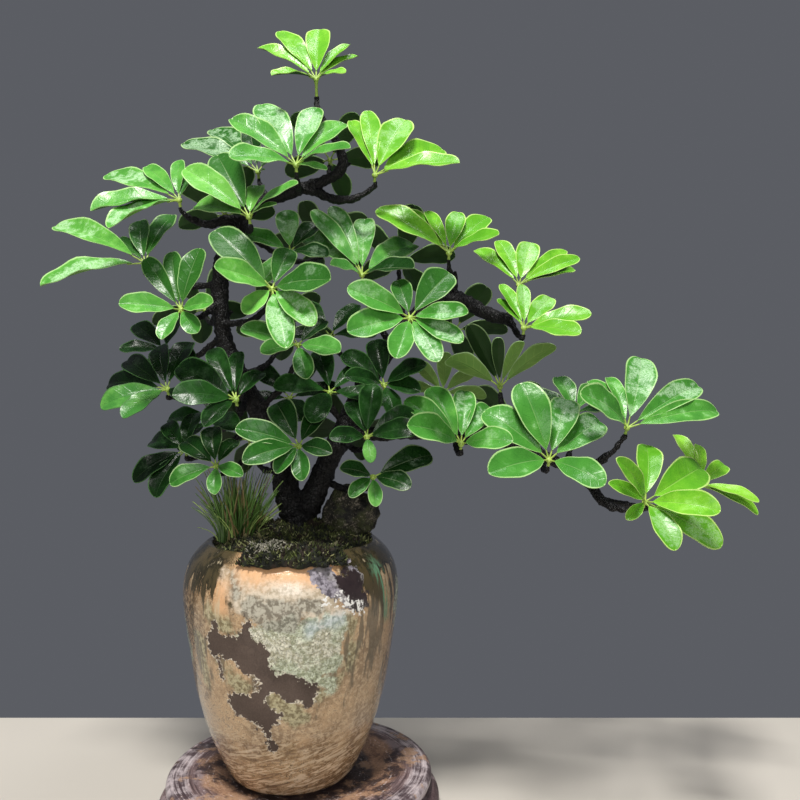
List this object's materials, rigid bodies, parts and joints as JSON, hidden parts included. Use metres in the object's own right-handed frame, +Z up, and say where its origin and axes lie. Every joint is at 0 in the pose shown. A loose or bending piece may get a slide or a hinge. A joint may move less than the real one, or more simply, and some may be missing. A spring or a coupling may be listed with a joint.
{
  "type": "potted schefflera",
  "caption": "Umbrella tree with palm-shaped leaves on dark forked trunks, in a glazed ceramic jar with moss, rock and grass, on a round turned wooden stand.",
  "frame": {"origin": "on the stand's flat underside, below the jar's axis", "axes": "+Z up along the jar's axis, +X to the right as the picture shows the plant, along its long low bough, and -Y towards the viewer"},
  "size_m": [0.6763, 0.2827, 0.7332],
  "materials": {
    "stand_wood": "worn purple-brown stain over turned wood, satin",
    "jar_glaze": "mottled tan, grey-green and brown glaze, glossy, with bare patches",
    "soil": "dark moist potting soil, matte",
    "moss": "dark green moss with pale flecks, matte",
    "rock": "dark rough stone with grey-brown patches",
    "grass": "green blades with some yellow-brown ones",
    "bark": "black-brown knobbly bark, slightly glossy",
    "leaf_lime": "glossy yellow-green young leaf with a light midrib",
    "leaf_fresh": "glossy bright green leaf with a pale edge",
    "leaf_mid": "glossy green leaf with pale mottling",
    "leaf_deep": "glossy dark green leaf"
  },
  "bodies": {
    "root": {"stand": "stand_wood", "jar": "jar_glaze", "soil": "soil", "moss": "moss", "rock": "rock", "grass": "grass", "wood": "bark", "leaf_crown": "leaf_lime", "leaf_top_front": "leaf_fresh", "leaf_top_right": "leaf_lime", "leaf_shoulder_left": "leaf_fresh", "leaf_far_left": "leaf_fresh", "leaf_left_front": "leaf_fresh", "leaf_shoulder_front": "leaf_fresh", "leaf_shoulder_back": "leaf_mid", "leaf_middle_left": "leaf_fresh", "leaf_middle_behind": "leaf_mid", "leaf_middle": "leaf_mid", "leaf_middle_front": "leaf_fresh", "leaf_under_middle": "leaf_mid", "leaf_low_left": "leaf_deep", "leaf_low_left_back": "leaf_deep", "leaf_inner_left": "leaf_deep", "leaf_bottom_left": "leaf_mid", "leaf_bottom_far_left": "leaf_deep", "leaf_bottom_middle": "leaf_mid", "leaf_under_right": "leaf_deep", "leaf_bottom_right": "leaf_mid", "leaf_inner_right": "leaf_deep", "leaf_right_low": "leaf_fresh", "leaf_right_under": "leaf_mid", "leaf_right_shade": "leaf_mid", "leaf_right_top": "leaf_lime", "leaf_right_high": "leaf_lime", "leaf_right_front": "leaf_lime", "leaf_arm_front": "leaf_fresh", "leaf_arm_top": "leaf_fresh", "leaf_arm_behind": "leaf_mid", "leaf_tip_front": "leaf_lime", "leaf_tip": "leaf_lime", "leaf_dark_left": "leaf_deep", "leaf_dark_middle": "leaf_deep", "leaf_dark_right": "leaf_deep", "leaf_dark_high": "leaf_deep", "leaf_back_crown": "leaf_fresh", "leaf_back_shoulder": "leaf_fresh", "leaf_back_high": "leaf_mid", "leaf_back_left": "leaf_mid", "leaf_back_middle": "leaf_mid", "leaf_back_right": "leaf_fresh", "leaf_back_low": "leaf_deep", "leaf_back_lower": "leaf_deep", "leaf_back_bough": "leaf_mid", "leaf_back_arm": "leaf_mid"}
  },
  "joints": []
}
